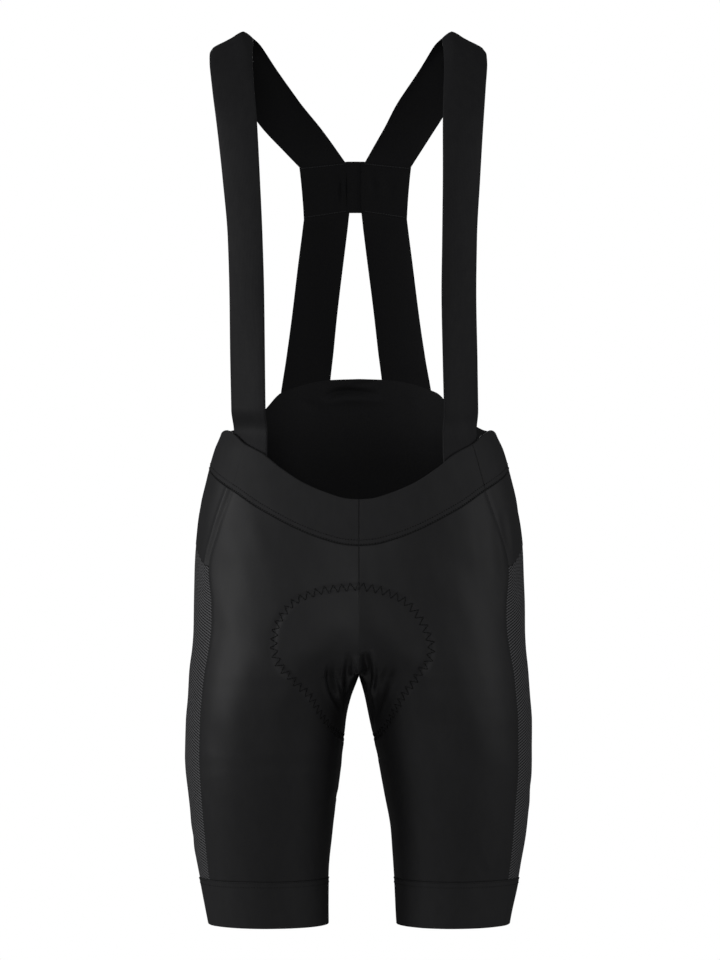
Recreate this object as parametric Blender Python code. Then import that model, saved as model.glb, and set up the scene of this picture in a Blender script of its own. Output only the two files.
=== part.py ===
"""Padded cycling bib shorts in their worn form, hollow and open at waist and hems.

Metres, +Z up, front towards -Y, wearer's left towards +X. The origin is where the
shoulders carry the straps. Lengths in the tables are millimetres.
"""

import math

import bmesh
import bpy
from mathutils import Vector

MM = 0.001
SHORTS_WALL = 1.6  # knitted nylon and elastane, doubled at its seams
NET_WALL = 1.2
BAND_WALL = 1.8  # waistband and hem band
STRAP_WALL = 1.4
SEAM_HALF_GAP = 0.15
LINE_GAP = 0.4  # between pieces that meet along a line round the form
HEM_TOP = -845.0
HEM_BOTTOM = -892.0
PANEL_CORNER = -535.0  # where hip panel, net panel and front panel meet
TUCK_LOW, TUCK_HIGH = -402.0, -380.0  # a shoulder strap leaves the waistband's inside between these
TUCK_CLEARANCE = 1.6
SEAT_GAP = 0.6
PAD_EDGE = 1.4
PAD_SWELL = 6.0
PAD_SIDE_POWER = 4  # how flat the pad stays before it thins towards its sides
PAD_END_RISE = 3  # how soon it thickens from its ends
PAD_CLEARANCE = 2.1
PAD_EASE = 3.2  # more room behind the folds at the crotch
RING_SEAM = 0.0005  # share of a ring left open on each side of a hem band's seam
SETTLE_ROUNDS = 4
LEAST_STEP = 0.05
PLACE_STEP, HEIGHT_STEP, KEY_STEP = 0.001, 0.5, 0.02  # for directions along the form and the bands
COLLECTION = "padded_bib_shorts"

# Rings of the worn form. Each half is one closed ring of four quarter ellipses: from the
# inner leg to the front, the outside, the back and round again. Above the crotch the inner
# point lies past the middle, and the half stops at the middle plane.
FORM_COLUMNS = ("z", "x_out", "x_in_right", "x_in_left", "x_front", "y_front",
                "x_back", "y_back", "y_out", "y_in")
FORM = (
    (-892, 149, 32, 39.5, 90, -68, 90, 60, -2, -2),
    (-845, 158, 31.5, 36, 94, -76, 93, 66, -1, -1),
    (-800, 166, 28, 33.5, 92, -84, 92, 74, 0, 0),
    (-760, 170, 22.5, 26.5, 91, -91, 90, 84, 2, 2),
    (-725, 172.5, 18.5, 19.5, 88, -96, 88, 95, 4, 4),
    (-690, 172, 14.5, 12.5, 84, -100, 84, 109, 6, 5),
    (-665, 170, 9.5, 7.5, 77, -103, 79, 119, 7, 6),
    (-652, 169, 4.8, 3.8, 71.5, -104, 74.5, 123, 7, 6),
    (-642, 168.3, 0, 0, 66, -105, 69.5, 126, 7, 6),
    (-635, 167.7, -10, -10, 61, -105.5, 65, 127.5, 7, 6),
    (-618, 166, -50, -50, 46, -107, 51, 130, 7, 6),
    (-594, 164.7, -115, -115, 25, -108, 32, 131, 6, 6),
    (-560, 164, -155, -155, 8, -107, 17, 127, 6, 6),
    (-525, 163, -163, -163, 0, -104, 6, 120, 5, 5),
    (-500, 160.8, -160.8, -160.8, 0, -101, 0, 114, 5, 5),
    (-475, 157, -157, -157, 0, -98.5, 0, 108, 4, 4),
    (-450, 151.3, -151.3, -151.3, 0, -96, 0, 102, 4, 4),
    (-420, 143.5, -143.5, -143.5, 0, -94, 0, 97, 4, 4),
    (-400, 135, -135, -135, 0, -92, 0, 96, 4, 4),
    (-370, 130, -130, -130, 0, -92, 0, 97, 4, 4),
    (-330, 128, -128, -128, 0, -94, 0, 100, 4, 4),
)

# Places round a ring run from 0 at the inner leg through 0.25 at the front, 0.5 at the
# outside and 0.75 at the back.
FRONT_MIDDLE, BACK_MIDDLE = 0.25, 0.75
BACK_SEAM = 0.60
WAIST_SIDE = -420.0
BRIDGE = (  # z, how far the front is stretched straight across between the legs
    (-684, 0), (-664, 0.1), (-652, 0.36), (-642, 0.66), (-628, 0.8), (-610, 0.8), (-570, 0),
)
BRIDGE_SPREAD = 28.0
BRIDGE_START, BRIDGE_FADE = -25.0, 35.0  # y where it begins, and over what depth it grows
FRONT_SEAM = (  # z, place of the seam down the front of the side panels
    (-845, 0.405), (-770, 0.400), (-700, 0.404), (-620, 0.412), (-570, 0.420),
    (-535, 0.430), (-500, 0.416), (-460, 0.401), (-400, 0.392),
)
WAIST_SEAM = (  # place, z of the seam under the waistband and the back bib
    (0.25, -513.5), (0.262, -512.7), (0.285, -507), (0.355, -478), (0.398, -460),
    (0.47, -442), (0.50, -438), (0.60, -438), (0.68, -446), (0.75, -452),
)
WAIST_TOP = (  # place, z of the open edge: low at the front, highest between the back straps
    (0.25, -468.1), (0.262, -467.2), (0.281, -462), (0.307, -452.2), (0.336, -437.5),
    (0.366, -422), (0.396, -413.4), (0.431, -403.3), (0.46, -399.5), (0.50, -402),
    (0.56, -399), (0.617, -380), (0.647, -360), (0.715, -347), (0.75, -346),
)
NET_TOP = (  # place, z of the top of the net panel
    (0.38, -535), (0.43, -535), (0.47, -521), (0.51, -512), (0.55, -517), (0.60, -535),
    (0.62, -535),
)
LOWER_ROWS = (HEM_TOP, -824, -803, -782, -761, -740, -719, -700, -682, -667, -655, -647,
              -642, -641, -639, -635, -629, -621, -610, -595)
ROWS_TO_CORNER = 3
ROWS_TO_WAIST = 4

# Squares across each grid, or across and up.
PANEL_SQUARES = 8
NET_SQUARES = 6
HIP_SQUARES = (6, ROWS_TO_WAIST)
FRONT_BAND_SQUARES = (8, 3)
SIDE_BAND_SQUARES = (6, 3)
HEM_SQUARES = (26, 2)
BIB_SQUARES = (16, 6)
SHOULDER_SQUARES = (2, 44)
BACK_STRAP_SQUARES = (3, 12)
CROSSPIECE_SQUARES = (4, 3)
JOIN_SQUARES = (2, 3)
PAD_SQUARES = (10, 28)

# Shoulder strap, from the waistband over the shoulder to the crosspiece: a row for each
# crossing, with its outer and inner edge and how far the pair sits towards the wearer's right.
STRAP_COLUMNS = ("x_out", "y_out", "z_out", "x_in", "y_in", "z_in", "lean")
SHOULDER_STRAP = (
    (123, -36, -440, 89, -70, -440, -4),
    (123, -38, -400, 89, -70, -400, -4),
    (123, -45, -335, 88.5, -74, -335, -5),
    (122.5, -56, -271, 88, -78, -271, -6),
    (123.5, -63, -211, 89, -83, -211, -6.5),
    (127.5, -66.5, -152, 90.5, -84, -152, -7.5),
    (132.5, -60.5, -94, 92, -74, -94, -9),
    (136, -45, -60, 94, -58, -60, -10),
    (138.5, -26, -34, 95.5, -36, -34, -10.5),
    (139, -8, -21, 96, -16, -12, -11),
    (138, 8, -18, 96, 4, -3, -11.5),
    (132, 27, -26, 90, 28, -8, -11.5),
    (110.5, 57, -57, 73, 62, -33, -11),
    (92.5, 80, -86, 52, 85, -62, -10.5),
    (69.5, 93, -115, 31.5, 98, -92, -6.5),
    (57, 97.5, -130.2, 10, 102.5, -124.8, -4),
)
BACK_STRAP = (  # from the crosspiece down to the back bib, same columns
    (52.5, 99, -183, 6, 105, -175.8, -3.7),
    (58, 97, -225, 11, 105.5, -216, -3.7),
    (66, 90, -290, 19, 103, -280, -3.5),
    (76, 79, -359, 26, 98, -346.6, -3),
)
CROSSPIECE = (  # one half, from its top edge to its bottom edge, same columns
    (57, 97.5, -130.6, 8, 103, -125.2, -3.9),
    (54.5, 99, -156, 8, 104.5, -150, -3.8),
    (52.5, 99.5, -182.6, 8, 105.5, -175.4, -3.7),
)
JOIN_HALF_WIDTH = 7.7

# Seat pad: a row for each crossing, from the front under the crotch to the back. Each runs
# from the middle at height z_middle round the form to an edge on either side, at height
# z_edge. Places behind the inner leg are counted backwards from it.
PAD_COLUMNS = ("z_middle", "edge_right", "edge_left", "z_edge")
SEAT_PAD = (
    (-553, 0.280, 0.265, -557),
    (-566, 0.306, 0.287, -569),
    (-586, 0.316, 0.296, -592),
    (-604, 0.308, 0.291, -609),
    (-616, 0.286, 0.269, -627),
    (-627.5, 0.248, 0.224, -643),
    (-635.5, 0.187, 0.176, -660),
    (-640, 0.141, 0.134, -680),
    (-641.6, 0.085, 0.085, -698),
    (-642, 0.000, 0.000, -706),
    (-641.6, -0.085, -0.085, -699),
    (-640, -0.150, -0.150, -682),
    (-634, -0.215, -0.215, -664),
    (-622.5, -0.269, -0.269, -644),
    (-603.5, -0.310, -0.310, -618),
    (-580, -0.329, -0.329, -588),
    (-558, -0.317, -0.317, -562),
    (-545, -0.283, -0.283, -546),
)
PAD_CROTCH_ROW = 9

FABRICS = {  # colour, roughness
    "shorts_knit": ((0.016, 0.016, 0.017), 0.62),
    "band_knit": ((0.012, 0.012, 0.013), 0.7),
    "side_net": ((0.02, 0.02, 0.021), 0.75),
    "strap_elastic": ((0.010, 0.010, 0.011), 0.65),
    "bib_knit": ((0.008, 0.008, 0.009), 0.7),
    "pad_foam": ((0.03, 0.03, 0.032), 0.85),
}


def slopes(keys, values):
    """Slopes that keep a curve through the keys from overshooting."""
    steps = [(b - a) / (q - p) for p, q, a, b in zip(keys, keys[1:], values, values[1:])]
    inner = [2 * a * b / (a + b) if a * b > 0 else 0.0 for a, b in zip(steps, steps[1:])]
    return [steps[0], *inner, steps[-1]]


def curve_through(keys, values):
    """A smooth function through (key, value) pairs in rising order of key, flat past its ends."""
    leads = slopes(keys, values)

    def read(key):
        key = min(max(key, keys[0]), keys[-1])
        i = max(n for n in range(len(keys) - 1) if keys[n] <= key or n == 0)
        gap = keys[i + 1] - keys[i]
        k = (key - keys[i]) / gap
        return ((1 + 2 * k) * (1 - k) ** 2 * values[i] + k * (1 - k) ** 2 * gap * leads[i]
                + k * k * (3 - 2 * k) * values[i + 1] + k * k * (k - 1) * gap * leads[i + 1])

    return read


def columns_of(names, rows, keys):
    return {name: curve_through(keys, [row[n] for row in rows])
            for n, name in enumerate(names)}


form = columns_of(FORM_COLUMNS, FORM, [row[0] for row in FORM])
front_seam = curve_through(*zip(*FRONT_SEAM))
waist_seam = curve_through(*zip(*WAIST_SEAM))
waist_top = curve_through(*zip(*WAIST_TOP))
net_top = curve_through(*zip(*NET_TOP))


def mix(a, b, share):
    return a + (b - a) * share


def smooth(share):
    """Rises from 0 to 1 with flat ends."""
    share = min(max(share, 0), 1)
    return share * share * (3 - 2 * share)


bridge = curve_through(*zip(*BRIDGE))


def inner_x(side, z):
    return form["x_in_left" if side > 0 else "x_in_right"](z)


def on_form(side, place, z):
    """The point of the worn form at a place round the ring at height z, in millimetres."""
    quarter, turn = divmod(place % 1.0 * 4, 1)
    turn *= math.pi / 2
    away, along = math.cos(turn), math.sin(turn)
    if quarter in (1, 3):
        away, along = along, away
    face = "_front" if quarter < 2 else "_back"
    x_end, y_end = form["x" + face](z), form["y" + face](z)
    if quarter in (1, 2):
        x_side, y_side = form["x_out"](z), form["y_out"](z)
    else:
        x_side, y_side = inner_x(side, z), form["y_in"](z)
    x = x_end + (x_side - x_end) * away
    y = y_side + (y_end - y_side) * along
    in_front = smooth((BRIDGE_START - y) / BRIDGE_FADE) * math.exp(-(x / BRIDGE_SPREAD) ** 2)
    return Vector((side * x, y + (form["y_front"](z) - y) * bridge(z) * in_front, z))


def off_form(side, place, z):
    """The direction straight out of the worn form."""
    round_it = on_form(side, place + PLACE_STEP, z) - on_form(side, place - PLACE_STEP, z)
    up_it = on_form(side, place, z + HEIGHT_STEP) - on_form(side, place, z - HEIGHT_STEP)
    return side * round_it.cross(up_it).normalized()


def half_start(side, z):
    """The place where a half begins: at the middle plane, or at the inner leg below the crotch."""
    x_in, x_front = inner_x(side, z), form["x_front"](z)
    if x_in >= 0:
        return 0.0
    return math.acos(x_front / (x_front - x_in)) / math.tau


def half_end(side, z):
    x_in, x_back = inner_x(side, z), form["x_back"](z)
    if x_in >= 0:
        return 1.0
    return 0.75 + math.asin(x_back / (x_back - x_in)) / math.tau


def place_of_x(side, x, z):
    """The place on the front half of a ring whose distance from the middle plane is x."""
    x_front = form["x_front"](z)
    if x >= x_front:
        share = (x - x_front) / (form["x_out"](z) - x_front)
        return 0.25 + math.asin(min(share, 1.0)) / math.tau
    share = (x_front - x) / (x_front - inner_x(side, z))
    return math.acos(min(share, 1.0)) / math.tau


def round_share(side, place, z, length):
    """How much of the ring a length in millimetres takes at a place."""
    step = on_form(side, place + PLACE_STEP, z) - on_form(side, place - PLACE_STEP, z)
    return length * 2 * PLACE_STEP / max(step.length, LEAST_STEP)


def fabric(name):
    colour, roughness = FABRICS[name]
    material = bpy.data.materials.get(name) or bpy.data.materials.new(name)
    material.use_nodes = True
    shader = material.node_tree.nodes["Principled BSDF"]
    shader.inputs["Base Color"].default_value = (*colour, 1)
    shader.inputs["Roughness"].default_value = roughness
    shader.inputs["Metallic"].default_value = 0.0
    return material


def cloth(name, squares, place, material, keep_side=0):
    """A cloth wall: a grid with a second layer, each corner put where place says.

    place(across, up, layer) gives a point in millimetres, with across and up from 0 to 1 and
    layer 0 on the body's side and 1 outside. keep_side holds the piece clear of the middle.
    """
    bm = bmesh.new()
    bmesh.ops.create_grid(bm, x_segments=squares[0], y_segments=squares[1], size=0.5)
    raised = bmesh.ops.extrude_face_region(
        bm, geom=bm.faces[:] + bm.edges[:], use_keep_orig=True)
    for vertex in raised["geom"]:
        if isinstance(vertex, bmesh.types.BMVert):
            vertex.co.z = 1.0
    for vertex in bm.verts:
        point = place(vertex.co.x + 0.5, vertex.co.y + 0.5, vertex.co.z)
        if keep_side:
            point.x = keep_side * max(keep_side * point.x, SEAM_HALF_GAP)
        vertex.co = point * MM
    bmesh.ops.recalc_face_normals(bm, faces=bm.faces)
    mesh = bpy.data.meshes.new(name)
    bm.to_mesh(mesh)
    bm.free()
    mesh.shade_smooth()
    mesh.set_sharp_from_angle(angle=math.radians(50))
    mesh.materials.append(fabric(material))
    piece = bpy.data.objects.new(name, mesh)
    bpy.data.collections[COLLECTION].objects.link(piece)


def on_cloth(side, place, z, layer, wall):
    return on_form(side, place, z) + off_form(side, place, z) * wall * layer


def lifted(line, place):
    return line(place) + LINE_GAP


def leg_row(row, place):
    """The height of a panel's row: level up to the corner, then easing to the waist seam."""
    level = len(LOWER_ROWS) - 1
    if row <= level:
        return LOWER_ROWS[round(row)] + (LINE_GAP if row < 0.5 else 0)
    if row <= level + ROWS_TO_CORNER:
        return mix(LOWER_ROWS[-1], PANEL_CORNER, (row - level) / ROWS_TO_CORNER)
    return mix(PANEL_CORNER, waist_seam(place), (row - level - ROWS_TO_CORNER) / ROWS_TO_WAIST)


def settle(side, across, height, starts, ends):
    """The place and height of a grid point whose row follows a line round the form."""
    z = PANEL_CORNER
    for _ in range(SETTLE_ROUNDS):
        start, end = starts(z), ends(z)
        start += round_share(side, start, z, SEAM_HALF_GAP)
        end -= round_share(side, end, z, SEAM_HALF_GAP)
        place = mix(start, end, across)
        z = height(place)
    return place, z


def leg_panel(name, side, starts, ends):
    rows = len(LOWER_ROWS) - 1 + ROWS_TO_CORNER + ROWS_TO_WAIST

    def put(across, up, layer):
        row = round(up * rows)
        place, z = settle(side, across, lambda p: leg_row(row, p), starts, ends)
        return on_cloth(side, place, z, layer, SHORTS_WALL)

    cloth(name, (PANEL_SQUARES, rows), put, "shorts_knit", keep_side=side)


def banded(name, side, squares, bottom, top, starts, ends, material, wall):
    """A piece between two lines that run round the form."""
    def put(across, up, layer):
        place, z = settle(side, across, lambda p: mix(bottom(p), top(p), up), starts, ends)
        return on_cloth(side, place, z, layer, wall)

    cloth(name, squares, put, material, keep_side=side)


def net_panel(name, side):
    rows = len(LOWER_ROWS) - 1 + ROWS_TO_CORNER

    def put(across, up, layer):
        row = round(up * rows)
        level = len(LOWER_ROWS) - 1

        def height(place):
            if row <= level:
                return leg_row(row, place)
            return mix(LOWER_ROWS[-1], net_top(place), (row - level) / ROWS_TO_CORNER)

        place, z = settle(side, across, height, front_seam, lambda z: BACK_SEAM)
        return on_cloth(side, place, z, layer, NET_WALL)

    cloth(name, (NET_SQUARES, rows), put, "side_net")


def hem_band(name, side):
    def put(across, up, layer):
        z = mix(HEM_BOTTOM, HEM_TOP, up)
        place = mix(RING_SEAM, 1 - RING_SEAM, across)
        return on_cloth(side, place, z, layer, BAND_WALL)

    cloth(name, HEM_SQUARES, put, "band_knit")


def back_bib():
    def put(across, up, layer):
        side = 1 if across >= 0.5 else -1
        from_middle = abs(2 * across - 1)
        place = mix(BACK_MIDDLE, BACK_SEAM, from_middle)
        place += round_share(side, BACK_SEAM, WAIST_SIDE, 2 * SEAM_HALF_GAP) * from_middle
        z = mix(lifted(waist_seam, place), waist_top(place), up)
        return on_cloth(side, place, z, layer, SHORTS_WALL)

    cloth("back_bib", BIB_SQUARES, put, "bib_knit")


def crossings(rows):
    keys = list(range(len(rows)))
    return columns_of(STRAP_COLUMNS, rows, keys), len(rows) - 1


def ribbon(name, side, rows, squares, shape=lambda point, up, layer: point):
    """A band whose outer and inner edges run smoothly through a table of crossings."""
    edge, last = crossings(rows)

    def middle_line(across, key):
        outer = Vector((side * edge["x_out"](key), edge["y_out"](key), edge["z_out"](key)))
        inner = Vector((side * edge["x_in"](key), edge["y_in"](key), edge["z_in"](key)))
        return mix(outer, inner, across) + Vector((edge["lean"](key), 0, 0))

    def put(across, up, layer):
        key = up * last
        along = middle_line(across, key + KEY_STEP) - middle_line(across, key - KEY_STEP)
        width = middle_line(1, key) - middle_line(0, key)
        out = side * along.cross(width).normalized()
        return shape(middle_line(across, key) + out * STRAP_WALL * layer, up, layer)

    cloth(name, squares, put, "strap_elastic")


def tucked(side):
    """Lays the lower end of a shoulder strap against the inside of the waistband."""
    def shape(point, up, layer):
        free = min(max((point.z - TUCK_LOW) / (TUCK_HIGH - TUCK_LOW), 0), 1)
        if free == 1:
            return point
        place = place_of_x(side, side * point.x, point.z)
        depth = TUCK_CLEARANCE + STRAP_WALL * (1 - layer)
        inside = on_form(side, place, point.z) - off_form(side, place, point.z) * depth
        return mix(inside, point, free * free * (3 - 2 * free))

    return shape


def seated(side):
    """Ends a back strap along the open edge of the back bib."""
    def shape(point, up, layer):
        if up < 1:
            return point
        place = 0.5 + math.acos(abs(point.x) / form["x_out"](point.z)) / math.tau
        z = waist_top(place) + SEAT_GAP
        return on_cloth(side, place, z, layer, STRAP_WALL)

    return shape


def join_strip():
    edge, last = crossings(CROSSPIECE)

    def put(across, up, layer):
        key = up * last
        x = mix(JOIN_HALF_WIDTH, -JOIN_HALF_WIDTH, across) + edge["lean"](key)
        return Vector((x, edge["y_in"](key) + STRAP_WALL * layer, edge["z_in"](key)))

    cloth("crosspiece_join", JOIN_SQUARES, put, "strap_elastic")


def seat_pad():
    keys = list(range(len(SEAT_PAD)))
    named = columns_of(PAD_COLUMNS, SEAT_PAD, keys)

    def chart(side, key):
        """The middle and the edge of a crossing, each as place and height."""
        z_middle = named["z_middle"](key)
        middle = half_start(side, z_middle)
        if key > PAD_CROTCH_ROW:
            middle = half_end(side, z_middle) - 1
        edge = named["edge_left" if side > 0 else "edge_right"](key)
        return Vector((middle, z_middle)), Vector((edge, named["z_edge"](key)))

    def put(across, up, layer):
        side = 1 if across >= 0.5 else -1
        share = abs(2 * across - 1)
        key = up * keys[-1]
        middle, edge = chart(side, key)
        place, z = middle.lerp(edge, share)
        out = off_form(side, place, z)
        if share == 0:
            out.x = 0
            out.normalize()
        swell = (1 - share ** PAD_SIDE_POWER) * min(math.sin(math.pi * up) * PAD_END_RISE, 1)
        depth = PAD_CLEARANCE + PAD_EASE * swell + (PAD_EDGE + PAD_SWELL * swell) * (1 - layer)
        point = on_form(side, place, z) - out * depth
        if share == 0:
            point.x = 0
        return point

    cloth("seat_pad", PAD_SQUARES, put, "pad_foam")


def build():
    for old in list(bpy.data.objects):
        bpy.data.objects.remove(old)
    shelf = bpy.data.collections.new(COLLECTION)
    bpy.context.scene.collection.children.link(shelf)
    for side, tag in ((1, "_l"), (-1, "_r")):
        leg_panel("front_panel" + tag, side, lambda z: half_start(side, z), front_seam)
        leg_panel("back_panel" + tag, side, lambda z: BACK_SEAM, lambda z: half_end(side, z))
        net_panel("net_panel" + tag, side)
        banded("hip_panel" + tag, side, HIP_SQUARES, lambda p: lifted(net_top, p),
               waist_seam, front_seam, lambda z: BACK_SEAM, "shorts_knit", SHORTS_WALL)
        banded("waistband_front" + tag, side, FRONT_BAND_SQUARES, lambda p: lifted(waist_seam, p),
               waist_top, lambda z: FRONT_MIDDLE, front_seam, "band_knit", BAND_WALL)
        banded("waistband_side" + tag, side, SIDE_BAND_SQUARES, lambda p: lifted(waist_seam, p),
               waist_top, front_seam, lambda z: BACK_SEAM, "band_knit", BAND_WALL)
        hem_band("hem_band" + tag, side)
        ribbon("shoulder_strap" + tag, side, SHOULDER_STRAP, SHOULDER_SQUARES, tucked(side))
        ribbon("crosspiece" + tag, side, CROSSPIECE, CROSSPIECE_SQUARES)
        ribbon("back_strap" + tag, side, BACK_STRAP, BACK_STRAP_SQUARES, seated(side))
    back_bib()
    join_strip()
    seat_pad()


build()
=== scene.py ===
"""The looks of a pair of padded cycling bib shorts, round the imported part.

+Z is up, the front faces -Y and the wearer's left is +X. Tables and sizes are in millimetres
unless they say otherwise, and the meshes are in metres.
"""

import math

import bmesh
import bpy
import numpy as np
from mathutils import Matrix, Vector


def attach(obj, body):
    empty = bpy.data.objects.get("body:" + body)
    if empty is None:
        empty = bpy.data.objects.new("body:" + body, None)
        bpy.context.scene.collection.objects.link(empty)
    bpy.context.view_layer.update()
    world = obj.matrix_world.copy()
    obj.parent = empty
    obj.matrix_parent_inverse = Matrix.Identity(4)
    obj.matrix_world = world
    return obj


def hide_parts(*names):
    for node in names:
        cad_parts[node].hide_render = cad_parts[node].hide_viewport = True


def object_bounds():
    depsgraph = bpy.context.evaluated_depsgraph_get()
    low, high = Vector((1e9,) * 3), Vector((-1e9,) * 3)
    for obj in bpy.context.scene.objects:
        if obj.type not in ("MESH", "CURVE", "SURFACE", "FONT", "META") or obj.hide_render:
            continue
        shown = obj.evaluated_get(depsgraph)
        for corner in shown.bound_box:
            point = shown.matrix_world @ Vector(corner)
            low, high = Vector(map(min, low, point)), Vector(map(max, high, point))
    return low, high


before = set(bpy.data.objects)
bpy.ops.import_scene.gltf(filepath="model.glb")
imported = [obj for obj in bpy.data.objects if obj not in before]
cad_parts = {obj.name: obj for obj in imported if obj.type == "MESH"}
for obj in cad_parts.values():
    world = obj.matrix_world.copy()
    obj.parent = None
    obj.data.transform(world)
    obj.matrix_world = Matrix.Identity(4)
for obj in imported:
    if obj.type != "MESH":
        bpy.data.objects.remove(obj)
cad_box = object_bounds()

MM = 0.001
SIDES = ((1, "_l"), (-1, "_r"))

# Camera, light and floor, in metres
EYE_DISTANCE = 5.0
EYE_ASIDE = 0.001
EYE_BELOW_MIDDLE = 0.002
LENS_MM, SENSOR_MM = 187.5, 36.0
FLOOR_DEPTH = 1.9
FLOOR_RADIUS, FLOOR_SIDES = 1.6, 96
SKY_LIGHT = 0.07  # share of the backdrop's white that lights the cloth

# Cloth
SHORTS_WALL = 1.6
NET_WALL = 1.2
BAND_WALL = 1.8
STRAP_WALL = 1.4
SEAM_LAP = 0.03  # neighbours run this far into each other, so no light shows through a seam
EDGE_ROUND = 1.1  # how far from an edge the outside starts to roll down
EDGE_LEFT = 0.3  # share of the wall left at the edge itself
FINE, MEDIUM = 1.7, 2.6  # sides of the grid squares

# The worn form, and the lines that the seams and edges follow on it
HEM_TOP = -845.0
HEM_BOTTOM = -892.0
PANEL_CORNER = -535.0
LEVEL_TOP = -595.0  # rows are level up to here
BACK_SEAM = 0.60
FRONT_MIDDLE, BACK_MIDDLE = 0.25, 0.75
SETTLE_ROUNDS = 5
PLACE_STEP, HEIGHT_STEP, KEY_STEP = 0.001, 0.5, 0.02
LEAST_STEP = 0.05

FORM_COLUMNS = ("z", "x_out", "x_in_right", "x_in_left", "x_front", "y_front",
                "x_back", "y_back", "y_out", "y_in")
FORM = (
    (-892, 149, 32, 39.5, 90, -68, 90, 60, -2, -2),
    (-845, 158, 31.5, 36, 94, -76, 93, 66, -1, -1),
    (-800, 166, 28, 33.5, 92, -84, 92, 74, 0, 0),
    (-760, 170, 22.5, 26.5, 91, -91, 90, 84, 2, 2),
    (-725, 172.5, 18.5, 19.5, 88, -96, 88, 95, 4, 4),
    (-690, 172, 14.5, 12.5, 84, -100, 84, 109, 6, 5),
    (-665, 170, 9.5, 7.5, 77, -103, 79, 119, 7, 6),
    (-652, 169, 4.8, 3.8, 71.5, -104, 74.5, 123, 7, 6),
    (-642, 168.3, 0, 0, 66, -105, 69.5, 126, 7, 6),
    (-635, 167.7, -10, -10, 61, -105.5, 65, 127.5, 7, 6),
    (-618, 166, -50, -50, 46, -107, 51, 130, 7, 6),
    (-594, 164.7, -115, -115, 25, -108, 32, 131, 6, 6),
    (-560, 164, -155, -155, 8, -107, 17, 127, 6, 6),
    (-525, 163, -163, -163, 0, -104, 6, 120, 5, 5),
    (-500, 160.8, -160.8, -160.8, 0, -101, 0, 114, 5, 5),
    (-475, 157, -157, -157, 0, -98.5, 0, 108, 4, 4),
    (-450, 151.3, -151.3, -151.3, 0, -96, 0, 102, 4, 4),
    (-420, 143.5, -143.5, -143.5, 0, -94, 0, 97, 4, 4),
    (-400, 135, -135, -135, 0, -92, 0, 96, 4, 4),
    (-370, 130, -130, -130, 0, -92, 0, 97, 4, 4),
    (-330, 128, -128, -128, 0, -94, 0, 100, 4, 4),
)
BRIDGE = (  # z, how far the front is stretched straight across between the legs
    (-684, 0), (-664, 0.1), (-652, 0.36), (-642, 0.66), (-628, 0.8), (-610, 0.8), (-570, 0),
)
BRIDGE_SPREAD = 28.0
BRIDGE_START, BRIDGE_FADE = -25.0, 35.0  # y where it begins, and over what depth it grows
FRONT_SEAM = (  # z, place of the seam down the front of the side panels
    (-845, 0.405), (-770, 0.400), (-700, 0.404), (-620, 0.412), (-570, 0.420),
    (-535, 0.430), (-500, 0.416), (-460, 0.401), (-400, 0.392),
)
WAIST_SEAM = (  # place, z of the seam under the waistband and the back bib
    (0.25, -513.5), (0.262, -512.7), (0.285, -507), (0.355, -478), (0.398, -460),
    (0.47, -442), (0.50, -438), (0.60, -438), (0.68, -446), (0.75, -452),
)
WAIST_TOP = (  # place, z of the open edge
    (0.25, -468.1), (0.262, -467.2), (0.281, -462), (0.307, -452.2), (0.336, -437.5),
    (0.366, -422), (0.396, -413.4), (0.431, -403.3), (0.46, -399.5), (0.50, -402),
    (0.56, -399), (0.617, -380), (0.647, -360), (0.715, -347), (0.75, -346),
)
NET_TOP = (  # place, z of the top of the net panel
    (0.38, -535), (0.43, -535), (0.47, -521), (0.51, -512), (0.55, -517), (0.60, -535),
    (0.62, -535),
)
STRAP_COLUMNS = ("x_out", "y_out", "z_out", "x_in", "y_in", "z_in", "lean")
SHOULDER_STRAP = (
    (123, -36, -440, 89, -70, -440, -4),
    (123, -38, -400, 89, -70, -400, -4),
    (123, -45, -335, 88.5, -74, -335, -5),
    (122.5, -56, -271, 88, -78, -271, -6),
    (123.5, -63, -211, 89, -83, -211, -6.5),
    (127.5, -66.5, -152, 90.5, -84, -152, -7.5),
    (132.5, -60.5, -94, 92, -74, -94, -9),
    (136, -45, -60, 94, -58, -60, -10),
    (138.5, -26, -34, 95.5, -36, -34, -10.5),
    (139, -8, -21, 96, -16, -12, -11),
    (138, 8, -18, 96, 4, -3, -11.5),
    (132, 27, -26, 90, 28, -8, -11.5),
    (110.5, 57, -57, 73, 62, -33, -11),
    (92.5, 80, -86, 52, 85, -62, -10.5),
    (69.5, 93, -115, 31.5, 98, -92, -6.5),
    (57, 97.5, -130.2, 10, 102.5, -124.8, -4),
)
BACK_STRAP = (
    (52.5, 99, -183, 6, 105, -175.8, -3.7),
    (58, 97, -225, 11, 105.5, -216, -3.7),
    (66, 90, -290, 19, 103, -280, -3.5),
    (76, 79, -359, 26, 98, -346.6, -3),
)
CROSSPIECE = (
    (57, 97.5, -129.6, 8, 103, -124.1, -3.9),
    (54.5, 99, -156, 8, 104.5, -150, -3.8),
    (52.5, 99.5, -183.6, 8, 105.5, -176.5, -3.7),
)
JOIN_HALF_WIDTH = 8.3
TUCK_LOW, TUCK_HIGH = -402.0, -380.0
TUCK_CLEARANCE = 1.6
PAD_COLUMNS = ("z_middle", "edge_right", "edge_left", "z_edge")
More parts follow.
